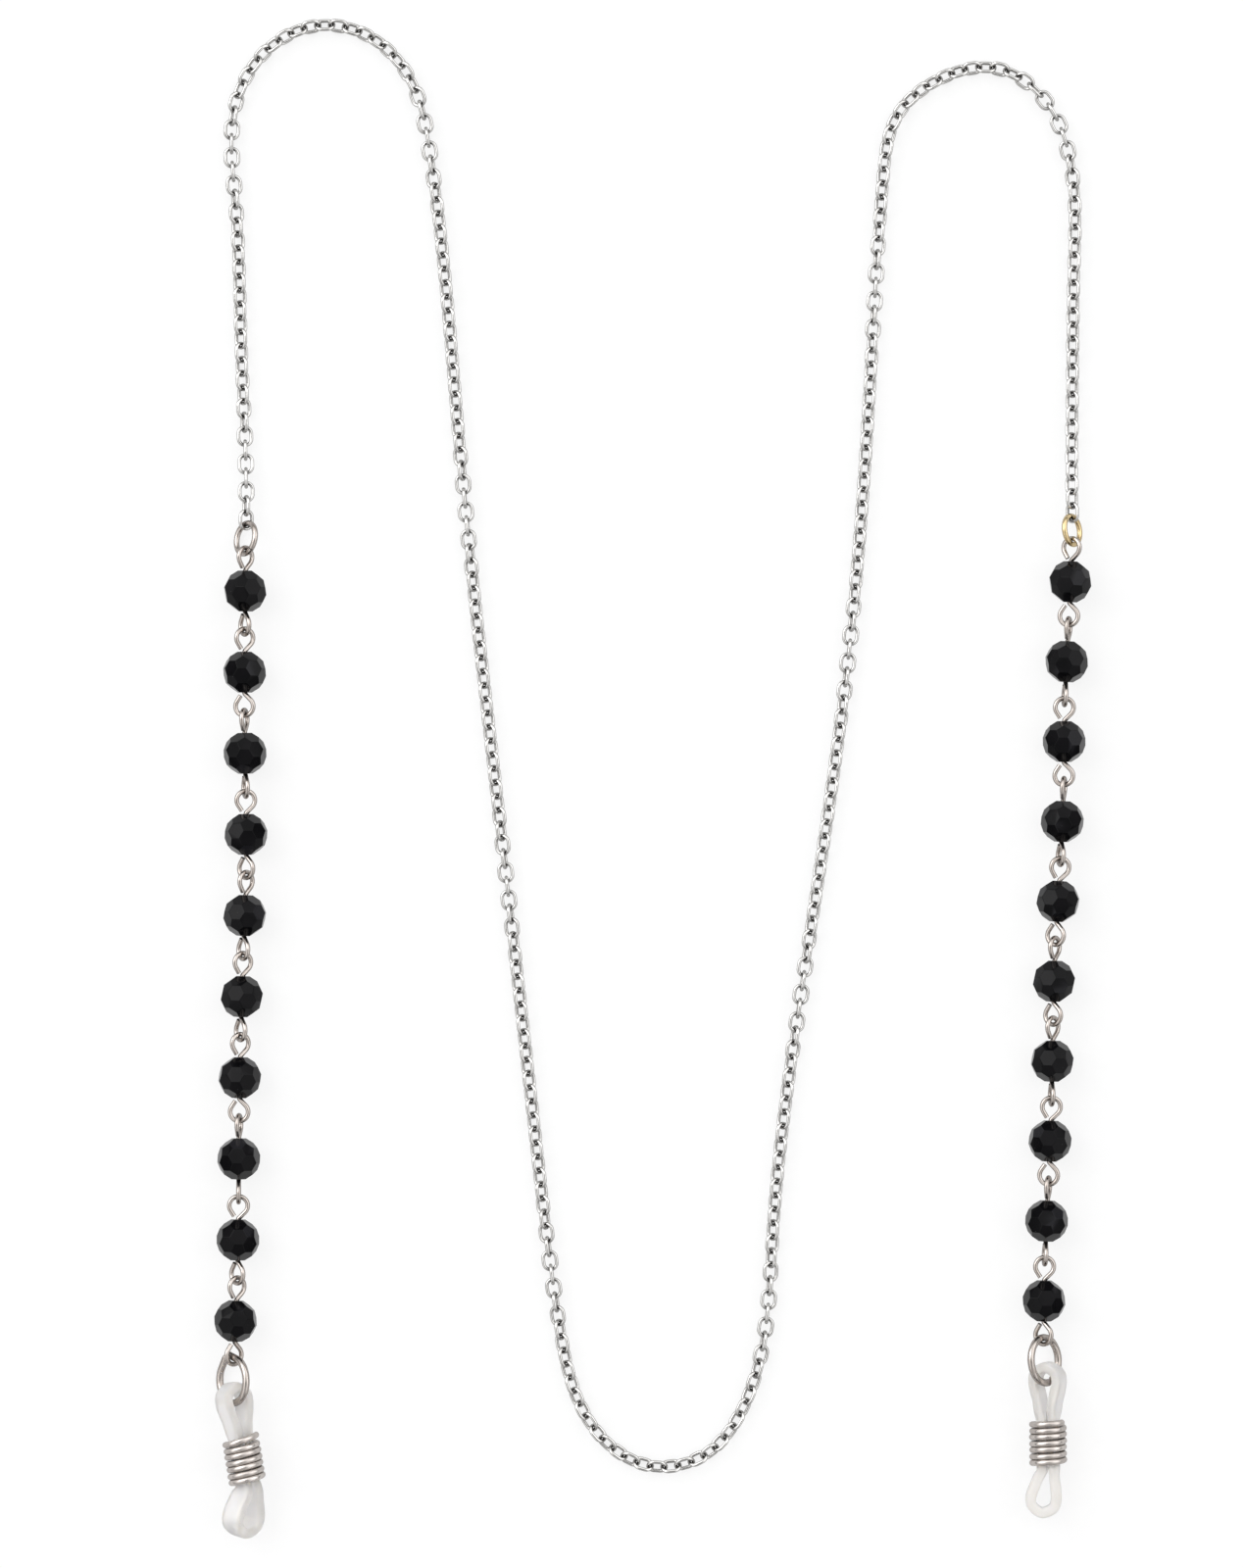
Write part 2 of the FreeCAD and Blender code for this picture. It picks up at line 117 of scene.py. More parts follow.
class Shader:
    """A node material built step by step; every add() returns the node's first output."""

    def __init__(self, name):
        self.material = bpy.data.materials.new(name)
        self.material.use_nodes = True
        self.tree = self.material.node_tree
        self.bsdf = self.tree.nodes["Principled BSDF"]
        self.coords = self.add("ShaderNodeTexCoord", output="Object")

    def add(self, kind, output=0, inputs=None, **settings):
        node = self.tree.nodes.new(kind)
        for key, value in settings.items():
            setattr(node, key, value)
        for key, value in (inputs or {}).items():
            self.put(node.inputs[key], value)
        return node.outputs[output]

    def put(self, socket, value):
        if isinstance(value, bpy.types.NodeSocket):
            self.tree.links.new(value, socket)
        else:
            socket.default_value = value

    def set(self, name, value):
        self.put(self.bsdf.inputs[name], value)

    def noise(self, scale, detail=3, rough=0.5, stretch=None, warp=0.0):
        vector = self.coords
        if stretch:
            vector = self.add("ShaderNodeMapping", inputs={"Vector": vector, "Scale": stretch})
        inputs = {"Vector": vector, "Scale": scale, "Detail": detail, "Roughness": rough,
                  "Distortion": warp}
        return self.add("ShaderNodeTexNoise", inputs=inputs)

    def ramp(self, value, low, high, out_low, out_high):
        """out_low up to low, out_high from high on, and a smooth change between them."""
        inputs = {0: value, 1: low, 2: high, 3: out_low, 4: out_high}
        return self.add("ShaderNodeMapRange", inputs=inputs, interpolation_type="SMOOTHSTEP")

    def spots(self, scale, size):
        """1 at the middle of small scattered spots, 0 away from them."""
        cells = self.add("ShaderNodeTexVoronoi", inputs={"Vector": self.coords, "Scale": scale})
        return self.ramp(cells, 0.0, size, 1.0, 0.0)

    def tilt(self):
        """0 where the surface faces the viewer, 1 where it is seen edge-on."""
        return self.add("ShaderNodeLayerWeight", output="Facing", inputs={"Blend": 0.5})

    def mix(self, factor, a, b):
        node = self.tree.nodes.new("ShaderNodeMix")
        node.data_type = "RGBA"
        self.put(node.inputs[0], factor)
        self.put(node.inputs[6], a)
        self.put(node.inputs[7], b)
        return node.outputs[2]

    def math(self, operation, a, b):
        return self.add("ShaderNodeMath", operation=operation, inputs={0: a, 1: b})

    def bump(self, height, strength, distance, normal=None):
        inputs = {"Height": height, "Strength": strength, "Distance": distance}
        if normal is not None:
            inputs["Normal"] = normal
        return self.add("ShaderNodeBump", inputs=inputs)


def rgba(r, g, b, shade=1.0):
    return (r * shade, g * shade, b * shade, 1.0)


def metal(name, bright, dull, roughness, tarnish_and_shade, hollow_shade, reach, clear, outline):
    """Plated wire: mottled polish, drawn-wire scratches, pits, and painted shade in the hooked corners.

    The polish goes from bright to dull in patches. Where less than `clear` of the space within
    `reach` mm is open, painted shade darkens the metal towards the `tarnish_and_shade` colour, up to
    `hollow_shade` of the colour. `outline` is how far painted shade darkens the metal where it is seen edge-on.
    """
    s = Shader(name)
    mottle = s.noise(520, 4, 0.6)
    cloud = s.noise(90, 2, 0.5)
    fine = s.noise(5200, 3, 0.65)
    marks = s.noise(2600, 2, 0.5, stretch=(1.0, 0.06, 1.0))
    pit = s.spots(1500.0, 0.16)
    colour = s.mix(s.ramp(mottle, 0.35, 0.7, 0.0, 1.0), rgba(*bright), rgba(*dull))
    colour = s.mix(s.ramp(cloud, 0.5, 0.75, 0.0, 0.35), colour, rgba(*dull, shade=0.9))
    colour = s.mix(s.math("MULTIPLY", pit, 0.35), colour, rgba(*tarnish_and_shade))
    # How open the space round each point is; where it is closed in, the next line paints shade.
    openness = s.add("ShaderNodeAmbientOcclusion", output="AO", samples=6,
                     inputs={"Distance": reach * MM})
    # Painted shade: hollows where wires hook and cross darken towards the `tarnish_and_shade` colour, standing in
    # for contact shadow.
    colour = s.mix(s.ramp(openness, clear - 0.45, clear, hollow_shade, 0.0), colour, rgba(*tarnish_and_shade))
    # Painted shade: the metal darkens where it is seen edge-on, standing in for dark reflections and self-shadow
    # at the wire's edges.
    colour = s.mix(s.ramp(s.tilt(), 0.40, 0.85, 0.0, outline), colour, rgba(*dull, shade=0.30))
    s.set("Base Color", colour)
    s.set("Metallic", 1.0)
    polish = s.ramp(mottle, 0.3, 0.75, roughness * 0.75, roughness * 1.4)
    rough = s.math("ADD", polish, s.ramp(marks, 0.5, 0.75, 0.0, 0.105))
    s.set("Roughness", s.math("ADD", rough, s.ramp(openness, 0.1, 0.8, 0.15, 0.0)))
    normal = s.bump(marks, 0.10, 0.03 * MM)
    normal = s.bump(fine, 0.10, 0.012 * MM, normal)
    s.set("Normal", s.bump(pit, -0.25, 0.01 * MM, normal))
    return s.material


def black_bead():
    """Polished black facets: a few hairline scratches, dust specks and slightly rubbed edges."""
    s = Shader("black_bead")
    cloud = s.noise(330, 3, 0.55)
    fine = s.noise(6500, 2, 0.6)
    hair = s.noise(900, 4, 0.7, stretch=(1.0, 0.12, 1.0), warp=0.4)
    scratch = s.ramp(hair, 0.62, 0.66, 0.0, 1.0)
    dust = s.spots(900.0, 0.045)
    edge = s.add("ShaderNodeNewGeometry", output="Pointiness")
    rubbed = s.ramp(edge, 0.52, 0.60, 0.0, 1.0)
    patchy = s.ramp(cloud, 0.3, 0.7, 0.0, 1.0)
    colour = s.mix(patchy, rgba(0.0025, 0.0025, 0.003), rgba(0.0045, 0.0042, 0.005))
    colour = s.mix(s.math("MULTIPLY", rubbed, 0.35), colour, rgba(0.035, 0.035, 0.04))
    colour = s.mix(s.math("MULTIPLY", dust, 0.55), colour, rgba(0.30, 0.30, 0.31))
    s.set("Base Color", colour)
    s.set("IOR", 1.5)
    s.set("Specular IOR Level", s.ramp(s.tilt(), 0.38, 0.78, 0.10, 0.60))
    rough = s.math("ADD", s.ramp(cloud, 0.3, 0.7, 0.05, 0.13), s.math("MULTIPLY", scratch, 0.10))
    s.set("Roughness", s.math("ADD", rough, s.math("MULTIPLY", dust, 0.4)))
    normal = s.bump(cloud, 0.06, 0.05 * MM)
    normal = s.bump(scratch, -0.06, 0.008 * MM, normal)
    s.set("Normal", s.bump(fine, 0.03, 0.005 * MM, normal))
    return s.material


def silicone():
    """Milky clear silicone: translucent, yellower in streaks and along its edges, with a fine grain."""
    s = Shader("silicone")
    cloud = s.noise(420, 3, 0.55)
    fine = s.noise(3800, 3, 0.6)
    streak = s.noise(700, 3, 0.6, stretch=(1.0, 0.25, 1.0))
    dust = s.spots(1100.0, 0.04)
    patchy = s.ramp(cloud, 0.35, 0.7, 0.0, 1.0)
    colour = s.mix(patchy, rgba(0.972, 0.952, 0.950), rgba(0.935, 0.915, 0.912))
    colour = s.mix(s.ramp(streak, 0.52, 0.78, 0.0, 0.45), colour, rgba(0.93, 0.91, 0.83))
    edge = s.add("ShaderNodeAttribute", output="Fac", attribute_name="rim")
    colour = s.mix(s.math("MULTIPLY", edge, 0.55), colour, rgba(0.875, 0.845, 0.79))
    colour = s.mix(s.math("MULTIPLY", dust, 0.20), colour, rgba(0.60, 0.58, 0.55))
    # Painted shade: the silicone turns grey where it is seen edge-on, giving a darker silhouette.
    colour = s.mix(s.ramp(s.tilt(), 0.80, 0.98, 0.0, 0.60), colour, rgba(0.60, 0.58, 0.58))
    s.set("Base Color", colour)
    s.set("IOR", 1.41)
    s.set("Transmission Weight", 0.57)
    s.set("Subsurface Weight", 0.72)
    s.set("Subsurface Radius", (1.0, 0.95, 0.85))
    s.set("Subsurface Scale", 1.2 * MM)
    s.set("Roughness", s.ramp(streak, 0.3, 0.75, 0.30, 0.40))
    normal = s.bump(cloud, 0.06, 0.10 * MM)
    s.set("Normal", s.bump(fine, 0.06, 0.01 * MM, normal))
    return s.material


# The coil's wire is nickel too, paler and more satin than the wire of the rings and pins.
METALS = {
    "silver_chain": dict(bright=(0.74, 0.73, 0.715), dull=(0.60, 0.59, 0.575), roughness=0.12,
                         tarnish_and_shade=(0.018, 0.013, 0.010), hollow_shade=1.0, reach=0.9, clear=0.93, outline=0.85),
    "nickel_wire": dict(bright=(0.56, 0.51, 0.475), dull=(0.46, 0.41, 0.375), roughness=0.20,
                        tarnish_and_shade=(0.03, 0.022, 0.018), hollow_shade=0.80, reach=0.6, clear=0.86, outline=0.75),
    "coil_wire": dict(bright=(0.72, 0.67, 0.635), dull=(0.60, 0.55, 0.515), roughness=0.29,
                      tarnish_and_shade=(0.07, 0.055, 0.045), hollow_shade=0.6, reach=0.4, clear=0.75, outline=0.25),
    "brass_ring": dict(bright=(0.78, 0.62, 0.36), dull=(0.66, 0.50, 0.27), roughness=0.20,
                       tarnish_and_shade=(0.20, 0.12, 0.05), hollow_shade=0.6, reach=0.4, clear=0.80, outline=0.55),
}
MATERIALS = {name: metal(name, **finish) for name, finish in METALS.items()}
MATERIALS["black_bead"] = black_bead()
MATERIALS["silicone"] = silicone()

for row in frame["record"]["subparts"]:
    cad = frame["nodes"][row["node"]]
    cad.data.materials.clear()
    cad.data.materials.append(MATERIALS[row["material_slot"]])
    for polygon in cad.data.polygons:
        polygon.use_smooth = True


# ---------------------------------------------------------------- beads

def bead(side, number):
    """The faceted bead with each edge and both bore rims rounded over."""
    node = f"{side}_bead_{number}"
    bm = bmesh.new()
    bm.from_mesh(frame["nodes"][node].data)
    # Whole facets first, then a bevel on each edge between two of them.
    bmesh.ops.remove_doubles(bm, verts=bm.verts, dist=0.0005 * MM)
    bmesh.ops.dissolve_limit(bm, angle_limit=math.radians(2), verts=bm.verts, edges=bm.edges)
    sharp = [e for e in bm.edges if e.is_manifold and e.calc_face_angle(0) > math.radians(15)]
    bmesh.ops.bevel(bm, geom=sharp, offset=BEAD_EDGE_ROUND * MM, segments=3, profile=0.6,
                    affect="EDGES", clamp_overlap=True)
    bmesh.ops.triangulate(bm, faces=[f for f in bm.faces if len(f.verts) > 4])
    mesh = bpy.data.meshes.new(f"{node}_cut")
    bm.to_mesh(mesh)
    bm.free()
    piece = bpy.data.objects.new(f"{node}_cut", mesh)
    bpy.context.scene.collection.objects.link(piece)
    mesh.materials.append(MATERIALS["black_bead"])
    for polygon in mesh.polygons:
        polygon.use_smooth = True
    piece.modifiers.new("facets", "WEIGHTED_NORMAL").keep_sharp = True
    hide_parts(node)
    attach(piece, node)


for side in SIDES:
    for number in range(1, BEADS_PER_SIDE + 1):
        bead(side, number)


# ---------------------------------------------------------------- swept shapes

def spline(points, steps):
    """A smooth curve through the points (centripetal Catmull-Rom), evenly sampled between knots."""
    pts = np.array([tuple(p) for p in points], float)
    pts = np.vstack([2 * pts[0] - pts[1], pts, 2 * pts[-1] - pts[-2]])
    out = []
    for i in range(1, len(pts) - 2):
        p0, p1, p2, p3 = pts[i - 1:i + 3]
        t1 = np.linalg.norm(p1 - p0) ** 0.5
        t2 = t1 + np.linalg.norm(p2 - p1) ** 0.5
        t3 = t2 + np.linalg.norm(p3 - p2) ** 0.5
        for t in np.linspace(t1, t2, steps, endpoint=i == len(pts) - 3):
            a1 = p0 * (t1 - t) / t1 + p1 * t / t1
            a2 = p1 * (t2 - t) / (t2 - t1) + p2 * (t - t1) / (t2 - t1)
            a3 = p2 * (t3 - t) / (t3 - t2) + p3 * (t - t2) / (t3 - t2)
            b1 = a1 * (t2 - t) / t2 + a2 * t / t2
            b2 = a2 * (t3 - t) / (t3 - t1) + a3 * (t - t1) / (t3 - t1)
            out.append(b1 * (t2 - t) / (t2 - t1) + b2 * (t - t1) / (t2 - t1))
    return np.array(out)


def even(path, count):
    """The same curve sampled at even distances."""
    gaps = np.linalg.norm(np.diff(path, axis=0), axis=1)
    along = np.concatenate([[0], np.cumsum(gaps)])
    places = np.linspace(0, along[-1], count)
    return np.column_stack([np.interp(places, along, path[:, k]) for k in range(3)])


def unit(v):
    v = np.array(v, float)
    return v / np.linalg.norm(v, axis=-1, keepdims=True)


def sweep(name, path, width_way, section, material, rounds):
    """A closed tube along path. section(i) gives its outline at station i as (across, wide) offsets.

    The wide offsets go along width_way, squared up to the path, and `rounds` is the outline's points.
    """
    tangent = unit(np.gradient(path, axis=0))
    wide = unit(width_way - np.sum(width_way * tangent, axis=1, keepdims=True) * tangent)
    across = np.cross(wide, tangent)
    verts, faces = [], []
    for i in range(len(path)):
        for x, w in section(i):
            verts.append(path[i] + across[i] * x + wide[i] * w)
    for i in range(len(path) - 1):
        for k in range(rounds):
            a, b = i * rounds + k, i * rounds + (k + 1) % rounds
            faces.append((a, b, b + rounds, a + rounds))
    last = (len(path) - 1) * rounds
    for ring, centre in ((range(rounds - 1, -1, -1), path[0]), (range(last, last + rounds), path[-1])):
        ring = list(ring)
        verts.append(centre)
        hub = len(verts) - 1
        for k in range(rounds):
            faces.append((ring[k], ring[(k + 1) % rounds], hub))
    return new_piece(name, verts, faces, material)


def coil_frame(side):
    """Centre and axis of a coil slider, from its joint and its CAD mesh, and half its length."""
    axis = unit(JOINTS[f"adjust_{side}_coil"]["axis"])
    out = unit(np.cross(axis, (0, 0, 1)))
    up = np.cross(out, axis)
    co = vertices(f"{side}_coil_slider")
    centre = sum(v * (np.max(co @ v) + np.min(co @ v)) / 2 for v in (axis, out, up))
    return centre, axis, (np.max(co @ axis) - np.min(co @ axis)) / 2


# ---------------------------------------------------------------- end rings and coil sliders

def wire_section(radius, rounds=20):
    """A circle, as points round it."""
    turn = np.linspace(0, 2 * math.pi, rounds, endpoint=False)
    return np.column_stack([np.cos(turn), np.sin(turn)]) * radius


def wire_piece(node, path, radius, way, pinch, finish):
    """Round wire along a path, its cut ends nipped to a blunt wedge; it takes the CAD node's place."""
    gaps = np.linalg.norm(np.diff(path, axis=0), axis=1)
    along = np.concatenate([[0], np.cumsum(gaps)])
    from_end = np.minimum(along, along[-1] - along)
    circle = wire_section(radius)

    def section(i):
        """The circle, narrowed towards the cut ends, rounded over at them and slightly uneven."""
        nip = pinch + (1 - pinch) * smooth(0, 0.55 * MM, from_end[i])
        round_over = 0.80 + 0.20 * smooth(0, 0.10 * MM, from_end[i])
        wobble = 1 + 0.012 * math.sin(along[i] / MM * 2.1) + 0.008 * math.sin(along[i] / MM * 5.3 + 1)
        return circle * (nip * round_over * wobble, round_over * wobble)

    piece = sweep(f"{node}_wire", path, way, section, MATERIALS[finish], len(circle))
    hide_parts(node)
    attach(piece, node)


def end_ring(side, step, corner):
    """A jump ring whose cut ends meet in a corner instead of on the circle, and pass out of line.

    The last `corner` degrees before each end run straight. One end rises `step` mm out of the
    ring's plane, and the other drops about a third of that.
    """
    node = f"{side}_end_ring"
    co = vertices(node)
    centre = (co.max(axis=0) + co.min(axis=0)) / 2
    _, _, axes = np.linalg.svd(co - co.mean(axis=0), full_matrices=False)
    normal = axes[2] * np.sign(axes[2][2])
    spoke = unit(np.cross(normal, (0, 0, 1)))
    other = np.cross(normal, spoke)
    reach = np.linalg.norm((co - centre) - np.outer((co - centre) @ normal, normal), axis=1)
    wire = (reach.max() - reach.min()) / 2
    radius = (reach.max() + reach.min()) / 2
    # The cut is the widest space between vertices, going round the ring.
    turn = np.sort(np.arctan2((co - centre) @ other, (co - centre) @ spoke))
    spaces = np.diff(np.append(turn, turn[0] + 2 * math.pi))
    cut = turn[np.argmax(spaces)] + spaces.max() / 2
    half_gap = spaces.max() / 2 + math.radians(2)
    angle = np.linspace(cut + half_gap, cut + 2 * math.pi - half_gap, RING_STATIONS)
    t = np.linspace(0, 1, RING_STATIONS)
    lift = step * (smooth(0.85, 1, t) - 0.35 * (1 - smooth(0, 0.15, t))) * MM
    from_cut = np.minimum(angle - angle[0], angle[-1] - angle)
    off_circle = np.clip(math.radians(corner) - from_cut, 0, None)
    far = radius / np.cos(off_circle) + 0.04 * MM * np.sin(2 * angle + 0.6)
    path = centre + np.outer(np.cos(angle) * far, spoke) + np.outer(np.sin(angle) * far, other)
    path = path + np.outer(lift, normal)
    wire_piece(node, path, wire, np.tile(normal, (len(path), 1)), pinch=0.6, finish="nickel_wire")


def coil(side, lift, droop):
    """Close-wound wire, slightly uneven, one cut end `lift` mm off the stack, the other `droop` mm."""
    node = f"{side}_coil_slider"
    centre, axis, half = coil_frame(side)
    out = unit(np.cross(axis, (0, 0, 1)))
    up = np.cross(out, axis)
    co = vertices(node) - centre
    reach = np.hypot(co @ out, co @ up)
    wire = (reach.max() - reach.min()) / 2
    radius = (reach.max() + reach.min()) / 2
    lead = COIL_LEAD * MM
    # The outermost vertices give the CAD wire's phase, so that the drawn turns lie on its turns.
    crown = co[reach > reach.max() - 0.12 * wire]
    spiral = np.arctan2(crown @ up, crown @ out) + 2 * math.pi * (crown @ axis) / lead
    phase = math.atan2(np.sin(spiral).mean(), np.cos(spiral).mean())
    rise = np.linspace(-half + wire, half - wire, COIL_STATIONS)
    turn = phase - 2 * math.pi * rise / lead
    t = np.linspace(0, 1, COIL_STATIONS)
    top = 1 - smooth(0, 0.065, t)
    bottom = smooth(0.965, 1, t)
    uneven = 0.035 * MM * np.sin(turn * 0.5 + 1.0) * smooth(0.02, 0.12, t) * (1 - smooth(0.88, 0.98, t))
    rise = rise + uneven - lift * MM * top + droop * MM * bottom
    far = radius + 0.02 * MM * np.sin(turn * 0.31) + 0.10 * MM * (top + bottom)
    path = centre + np.outer(rise, axis)
    path = path + np.outer(np.cos(turn) * far, out) + np.outer(np.sin(turn) * far, up)
    wire_piece(node, path, wire, np.tile(axis, (len(path), 1)), pinch=0.9, finish="coil_wire")


end_ring("left", step=0.25, corner=34)
end_ring("right", step=0.20, corner=8)
coil("left", lift=0.35, droop=0.35)
coil("right", lift=0.0, droop=0.45)


# ---------------------------------------------------------------- silicone loops

def flat_side(node, axis, centre):
    """The direction square to axis in which the CAD band's flat sides face, above the coil."""
    well_above_coil = -4.5 * MM
    mesh = frame["nodes"][node].data
    e1 = unit(np.cross(axis, (0, 0, 1)))
    e2 = np.cross(axis, e1)
    best = None
    faces = [(np.array(f.normal), f.area) for f in mesh.polygons
             if (np.array(f.center) - centre) @ axis < well_above_coil]
    for degrees in range(180):
        m = e1 * math.cos(math.radians(degrees)) + e2 * math.sin(math.radians(degrees))
        score = sum(area for normal, area in faces if abs(normal @ m) > 0.999)
        if best is None or score > best[0]:
            best = (score, m)
    return best[1]


def band_half(name, side, centre, axis, half_coil, flat_middle, eye, down, flat, broad, lobe):
    """Half of a temple loop: from the middle of the coil round one eye and back, as one strand.

    centre, axis, half_coil and flat_middle describe the band in the coil. The rest is the lobe: its
    eye, which way it points, which way its flat side faces, its half width and its centre line.
    """
    across = np.cross(flat, down)
    across_middle = np.cross(flat_middle, axis)
    sign = 1 if (eye - centre) @ axis > 0 else -1
    mouth = centre + axis * sign * half_coil
    along = unit(down) * (1 if (eye - centre) @ down > 0 else -1)
    # In the coil the two strands lie side by side, and they start to part at its mouth.
    side_points = [centre + across_middle * 0.79 * MM,
                   mouth - axis * sign * 0.7 * MM + across_middle * 0.80 * MM,
                   mouth + axis * sign * 0.35 * MM + across_middle * 0.86 * MM]
    in_coil = len(side_points)
    for reach, out in lobe:
        side_points.append(eye + along * reach * MM + across * out * MM)

    def mirrored(point, i):
        """The same point on the other strand."""
        lateral = across_middle if i < in_coil else across
        origin = centre if i < in_coil else eye
        return point - lateral * 2 * ((point - origin) @ lateral)

    other = [mirrored(p, i) for i, p in enumerate(side_points[:-1])]
    path = even(spline(side_points + other[::-1], steps=14), BAND_STATIONS)
    from_mouth = (path - mouth) @ (axis * sign) / MM
    # 1 where the coil grips the band, falling to 0 a little outside its mouth.
    grip = 1 - smooth(-0.5, 1.3, from_mouth)
    wide = flat_middle[None] * grip[:, None] + np.array(flat)[None] * (1 - grip[:, None])
    turn = np.linspace(0, 2 * math.pi, BAND_ROUNDS, endpoint=False)

    def section(i):
        """A rounded rectangle, a little wavy and hollow-sided outside the coil."""
        wave = 0.5 * math.sin(i * 0.23 + len(name)) + 0.5 * math.sin(i * 0.091 + 2 * len(side))
        thick = (BAND_HALF_THICK + 0.025 * wave) * (1 - grip[i]) + GRIPPED_HALF_THICK * grip[i]
        half = (broad + 0.03 * math.sin(i * 0.13 + 1.7)) * (1 - grip[i]) + GRIPPED_HALF_BROAD * grip[i]
        squareness = 3.6 * (1 - grip[i]) + 2.9 * grip[i]
        power = 2 / squareness
        x = np.sign(np.cos(turn)) * np.abs(np.cos(turn)) ** power * thick
        w = np.sign(np.sin(turn)) * np.abs(np.sin(turn)) ** power * half
        hollow = 0.11 * (1 - grip[i]) * (1 - (w / half) ** 2)
        x = x * (1 - hollow)
        return np.column_stack([x, w]) * MM

    piece = sweep(name, path, wide, section, MATERIALS["silicone"], BAND_ROUNDS)
    rim = piece.data.attributes.new("rim", "FLOAT", "POINT")
    edge = smooth(0.45, 0.8, np.abs(np.sin(turn)))
    rim.data.foreach_set("value", np.append(np.tile(edge, len(path)), (0, 0)))
    return piece, mouth


def temple_loop(side):
    """The figure-8 silicone band, as an upper and a lower half that neck down at the coil."""
    node = f"{side}_temple_loop"
    centre, axis, half_coil = coil_frame(side)
    mount = next(m for m in frame["record"]["mounts"] if m["name"] == f"{side}_temple_grip")
    lower_eye = np.array(mount["pos_m"])
    upper_eye = np.array(JOINTS[f"hook_{side}_temple_loop"]["pos_m"]) - axis * 0.35 * MM
    upper_flat = flat_side(node, axis, centre)
    lower_flat = unit(mount["axis"])
    if upper_flat @ lower_flat < 0:
        upper_flat = -upper_flat
    middle = unit(upper_flat + lower_flat)
    middle = unit(middle - (middle @ axis) * axis)
    lower_down = lower_eye - (centre + axis * half_coil)
    lower_down = unit(lower_down - (lower_down @ lower_flat) * lower_flat)
    lower_broad = FULL_HALF_BROAD if side == "left" else BAND_HALF_BROAD
    lower_lobe = FULL_TEARDROP if side == "left" else TEARDROP
    halves = {
        "upper": dict(eye=upper_eye, down=axis, flat=upper_flat, broad=BAND_HALF_BROAD, lobe=TEARDROP),
        "lower": dict(eye=lower_eye, down=lower_down, flat=lower_flat, broad=lower_broad,
                      lobe=lower_lobe),
    }
    for part, half in halves.items():
        piece, mouth = band_half(f"{node}_{part}", side, centre, axis, half_coil, middle, **half)
        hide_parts(node)
        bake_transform(piece)


for side in SIDES:
    temple_loop(side)


# ---------------------------------------------------------------- floor, light, camera

def world_light():
    """A light tent: brightest left, right and far, dark at the horizon and in a spot overhead.

    Where the camera sees past the table, the tent is a plain pale grey.
    """
    world = bpy.data.worlds.new("tent")
    bpy.context.scene.world = world
    world.use_nodes = True
    tree = world.node_tree
    nodes, links = tree.nodes, tree.links
    background = nodes["Background"]
    coords = nodes.new("ShaderNodeTexCoord")
    split = nodes.new("ShaderNodeSeparateXYZ")
    links.new(coords.outputs["Generated"], split.inputs[0])

    def ranged(source, low, high, out_low, out_high):
        node = nodes.new("ShaderNodeMapRange")
        node.interpolation_type = "SMOOTHSTEP"
        links.new(source, node.inputs[0])
        for i, value in enumerate((low, high, out_low, out_high)):
            node.inputs[i + 1].default_value = value
        return node.outputs[0]

    def combine(operation, a, b):
        node = nodes.new("ShaderNodeMath")
        node.operation = operation
        for i, value in enumerate((a, b)):
            if isinstance(value, bpy.types.NodeSocket):
                links.new(value, node.inputs[i])
            else:
                node.inputs[i].default_value = value
        return node.outputs[0]

    x, y, z = split.outputs
    overhead = ranged(z, 0.955, 0.99, 1.0, 0.05)
    horizon = ranged(z, 0.08, 0.50, 0.10, 1.0)
    sides = combine("ADD", 0.50, ranged(combine("ABSOLUTE", x, 0.0), 0.25, 0.65, 0.0, 0.80))
    sides = combine("ADD", sides, ranged(y, -0.30, 0.45, 0.0, 0.85))
    strength = combine("MULTIPLY", combine("MULTIPLY", overhead, horizon), sides)
    path = nodes.new("ShaderNodeLightPath")
    seen = nodes.new("ShaderNodeMix")
    links.new(path.outputs["Is Camera Ray"], seen.inputs[0])
    links.new(strength, seen.inputs[2])
    seen.inputs[3].default_value = 0.9
    links.new(seen.outputs[0], background.inputs["Strength"])
    background.inputs["Color"].default_value = (1.0, 1.0, 1.0, 1.0)


def area_light(name, place, size, power):
    """A round lamp that faces the origin."""
    light = bpy.data.lights.new(name, "AREA")
    light.shape = "DISK"
    light.size = size
    light.energy = power
    lamp = bpy.data.objects.new(name, light)
    lamp.location = place
    lamp.rotation_euler = (-Vector(place)).to_track_quat("-Z", "Y").to_euler()
    bpy.context.scene.collection.objects.link(lamp)


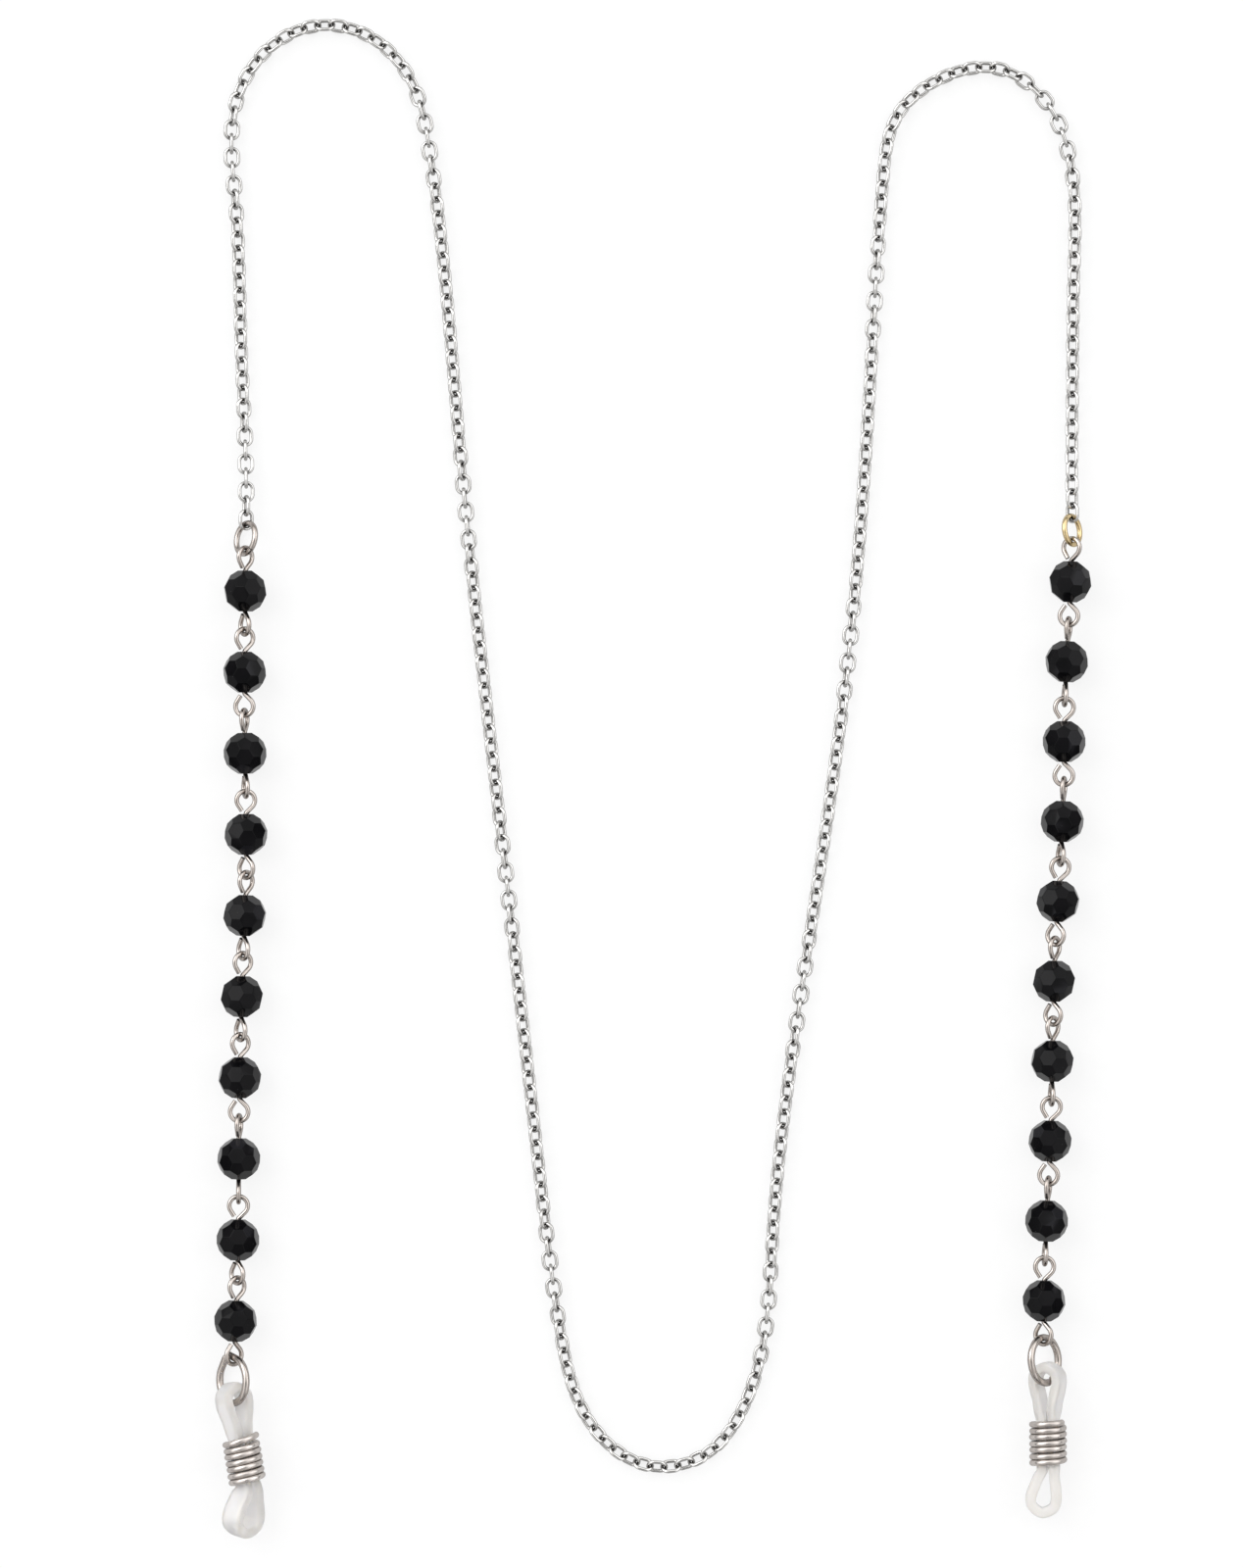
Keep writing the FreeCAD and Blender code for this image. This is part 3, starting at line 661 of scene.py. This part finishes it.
def keep_below(plane, pieces):
    """Lowers the table to the lowest piece when a swing would carry one through it."""
    tree = bpy.data.node_groups.new("below_everything", "GeometryNodeTree")
    for way in ("INPUT", "OUTPUT"):
        tree.interface.new_socket("Geometry", in_out=way, socket_type="NodeSocketGeometry")
    nodes, links = tree.nodes, tree.links
    boxes = nodes.new("GeometryNodeJoinGeometry")
    for piece in pieces:
        info = nodes.new("GeometryNodeObjectInfo")
        info.transform_space = "RELATIVE"
        info.inputs["Object"].default_value = piece
        box = nodes.new("GeometryNodeBoundBox")
        links.new(info.outputs["Geometry"], box.inputs[0])
        links.new(box.outputs["Bounding Box"], boxes.inputs[0])
    whole = nodes.new("GeometryNodeBoundBox")
    links.new(boxes.outputs[0], whole.inputs[0])
    split = nodes.new("ShaderNodeSeparateXYZ")
    links.new(whole.outputs["Min"], split.inputs[0])
    drop = nodes.new("ShaderNodeMath")
    drop.operation = "MINIMUM"
    drop.inputs[1].default_value = 0.0
    links.new(split.outputs["Z"], drop.inputs[0])
    down = nodes.new("ShaderNodeCombineXYZ")
    links.new(drop.outputs[0], down.inputs["Z"])
    move = nodes.new("GeometryNodeTransform")
    links.new(nodes.new("NodeGroupInput").outputs[0], move.inputs["Geometry"])
    links.new(down.outputs[0], move.inputs["Translation"])
    links.new(move.outputs[0], nodes.new("NodeGroupOutput").inputs[0])
    plane.modifiers.new("below_everything", "NODES").node_group = tree


def floor():
    """A plain pale table. It glows more as the camera sees it, directly or through the silicone."""
    s = Shader("floor")
    grain = s.noise(260, 4, 0.6)
    patchy = s.ramp(grain, 0.3, 0.7, 0.0, 1.0)
    s.set("Base Color", s.mix(patchy, rgba(0.18, 0.18, 0.18), rgba(0.17, 0.17, 0.17)))
    s.set("Emission Color", rgba(1.0, 1.0, 1.0))
    straight = s.add("ShaderNodeLightPath", output="Is Camera Ray")
    through = s.add("ShaderNodeLightPath", output="Is Transmission Ray")
    glow = s.math("MULTIPLY", s.math("MAXIMUM", straight, through), 0.27)
    s.set("Emission Strength", s.math("ADD", glow, 0.53))
    s.set("Roughness", 0.75)
    s.set("Specular IOR Level", 0.15)
    half = 2.5
    corners = [(-half, -half, 0), (half, -half, 0), (half, half, 0), (-half, half, 0)]
    plane = new_piece("floor", corners, [(0, 1, 2, 3)], s.material)
    plane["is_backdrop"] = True
    keep_below(plane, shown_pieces())


def camera():
    """Straight down from a metre above, a little left of the origin."""
    data = bpy.data.cameras.new("camera")
    data.lens = 166.0
    data.sensor_width = 36.0
    cam = bpy.data.objects.new("camera", data)
    cam.location = (-4.3 * MM, -0.8 * MM, 1.0)
    bpy.context.scene.collection.objects.link(cam)
    bpy.context.scene.camera = cam
    data.clip_start = 0.01
    data.clip_end = 20.0


world_light()
area_light("key", place=(-0.7, 0.5, 0.75), size=0.9, power=3.2)
floor()
camera()
bpy.context.scene.view_settings.view_transform = "Standard"
